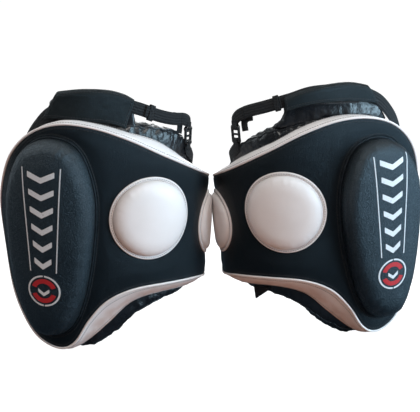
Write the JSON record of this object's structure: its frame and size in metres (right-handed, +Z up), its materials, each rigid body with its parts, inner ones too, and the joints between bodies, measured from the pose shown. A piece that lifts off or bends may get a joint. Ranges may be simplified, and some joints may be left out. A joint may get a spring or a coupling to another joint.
{
  "type": "thigh kick shield pair",
  "caption": "Pair of padded thigh shields with raised oval kick blocks, round strike targets, satin leg cushions, hip flaps over buckled straps, and rear thigh straps.",
  "frame": {"origin": "midway between the wearer's two thighs, at the height of the front targets' centres", "axes": "+Z up, the wearer faces -Y, the wearer's left shield is at +X"},
  "size_m": [0.6908, 0.2623, 0.4166],
  "materials": {
    "black_leather": "fine-grained synthetic leather, semi-matt",
    "white_leather": "smooth synthetic leather, slightly warm white",
    "black_satin": "woven nylon satin with a cool sheen",
    "black_webbing": "ribbed woven webbing",
    "hook_and_loop": "matt hook-and-loop tape",
    "black_plastic": "moulded acetal, satin",
    "foam": "closed-cell foam, hidden"
  },
  "bodies": {
    "right_shield": {"right_front_skin": "black_leather", "right_edge_piping": "white_leather", "right_side_gusset": "white_leather", "right_foam_core": "foam", "right_liner_cushion": "black_satin", "right_kick_block_core": "foam", "right_kick_block_cover": "black_leather", "right_kick_block_welt": "black_leather", "right_front_target_core": "foam", "right_front_target_cover": "white_leather", "right_front_target_flange": "white_leather", "right_inner_target_core": "foam", "right_inner_target_cover": "white_leather", "right_inner_target_flange": "white_leather", "right_hip_panel": "black_satin", "right_belt_flap_loop": "hook_and_loop", "right_hip_strap": "black_webbing", "right_strap_anchor": "black_webbing", "right_upper_thigh_strap": "black_webbing", "right_upper_ring": "black_plastic", "right_upper_ring_tab": "black_webbing", "right_lower_thigh_strap": "black_webbing", "right_lower_ring": "black_plastic", "right_lower_ring_tab": "black_webbing"},
    "right_belt_flap": {"right_belt_flap": "black_leather", "right_belt_flap_hook": "hook_and_loop"},
    "right_buckle": {"right_ladder_buckle": "black_plastic"},
    "right_upper_strap_end": {"right_upper_strap_end": "hook_and_loop"},
    "right_lower_strap_end": {"right_lower_strap_end": "hook_and_loop"},
    "left_shield": {"left_front_skin": "black_leather", "left_edge_piping": "white_leather", "left_side_gusset": "white_leather", "left_foam_core": "foam", "left_liner_cushion": "black_satin", "left_kick_block_core": "foam", "left_kick_block_cover": "black_leather", "left_kick_block_welt": "black_leather", "left_front_target_core": "foam", "left_front_target_cover": "white_leather", "left_front_target_flange": "white_leather", "left_inner_target_core": "foam", "left_inner_target_cover": "white_leather", "left_inner_target_flange": "white_leather", "left_hip_panel": "black_satin", "left_belt_flap_loop": "hook_and_loop", "left_hip_strap": "black_webbing", "left_strap_anchor": "black_webbing", "left_upper_thigh_strap": "black_webbing", "left_upper_ring": "black_plastic", "left_upper_ring_tab": "black_webbing", "left_lower_thigh_strap": "black_webbing", "left_lower_ring": "black_plastic", "left_lower_ring_tab": "black_webbing", "left_strap_tab": "black_webbing"},
    "left_belt_flap": {"left_belt_flap": "black_leather", "left_belt_flap_hook": "hook_and_loop"},
    "left_buckle": {"left_ladder_buckle": "black_plastic"},
    "left_upper_strap_end": {"left_upper_strap_end": "hook_and_loop"},
    "left_lower_strap_end": {"left_lower_strap_end": "hook_and_loop"}
  },
  "joints": [
    {"name": "pair_spread", "type": "slide", "parent": "right_shield", "child": "left_shield", "axis": [1, 0, 0], "range_m": [0, 0.3]},
    {"name": "right_flap_fold", "type": "hinge", "parent": "right_shield", "child": "right_belt_flap", "pos_m": [-0.1778, -0.0987, 0.199], "axis": [-1, 0, 0], "range_deg": [0, 100]},
    {"name": "right_buckle_tilt", "type": "hinge", "parent": "right_shield", "child": "right_buckle", "pos_m": [-0.04038, -0.04124, 0.108], "axis": [0.477, 0.8789, 0], "range_deg": [0, 30]},
    {"name": "right_upper_strap_peel", "type": "hinge", "parent": "right_shield", "child": "right_upper_strap_end", "pos_m": [-0.31349, 0.00056, -0.01], "axis": [0, 0, 1], "range_deg": [0, 90]},
    {"name": "right_lower_strap_peel", "type": "hinge", "parent": "right_shield", "child": "right_lower_strap_end", "pos_m": [-0.30873, 0.00343, -0.068], "axis": [0, 0, 1], "range_deg": [0, 90]},
    {"name": "left_flap_fold", "type": "hinge", "parent": "left_shield", "child": "left_belt_flap", "pos_m": [0.1778, -0.0987, 0.199], "axis": [-1, 0, 0], "range_deg": [0, 100]},
    {"name": "left_buckle_tilt", "type": "hinge", "parent": "left_shield", "child": "left_buckle", "pos_m": [0.04038, -0.04124, 0.108], "axis": [0.477, -0.8789, 0], "range_deg": [0, 30]},
    {"name": "left_upper_strap_peel", "type": "hinge", "parent": "left_shield", "child": "left_upper_strap_end", "pos_m": [0.31349, 0.00056, -0.01], "axis": [0, 0, -1], "range_deg": [0, 90]},
    {"name": "left_lower_strap_peel", "type": "hinge", "parent": "left_shield", "child": "left_lower_strap_end", "pos_m": [0.30873, 0.00343, -0.068], "axis": [0, 0, -1], "range_deg": [0, 90]}
  ]
}
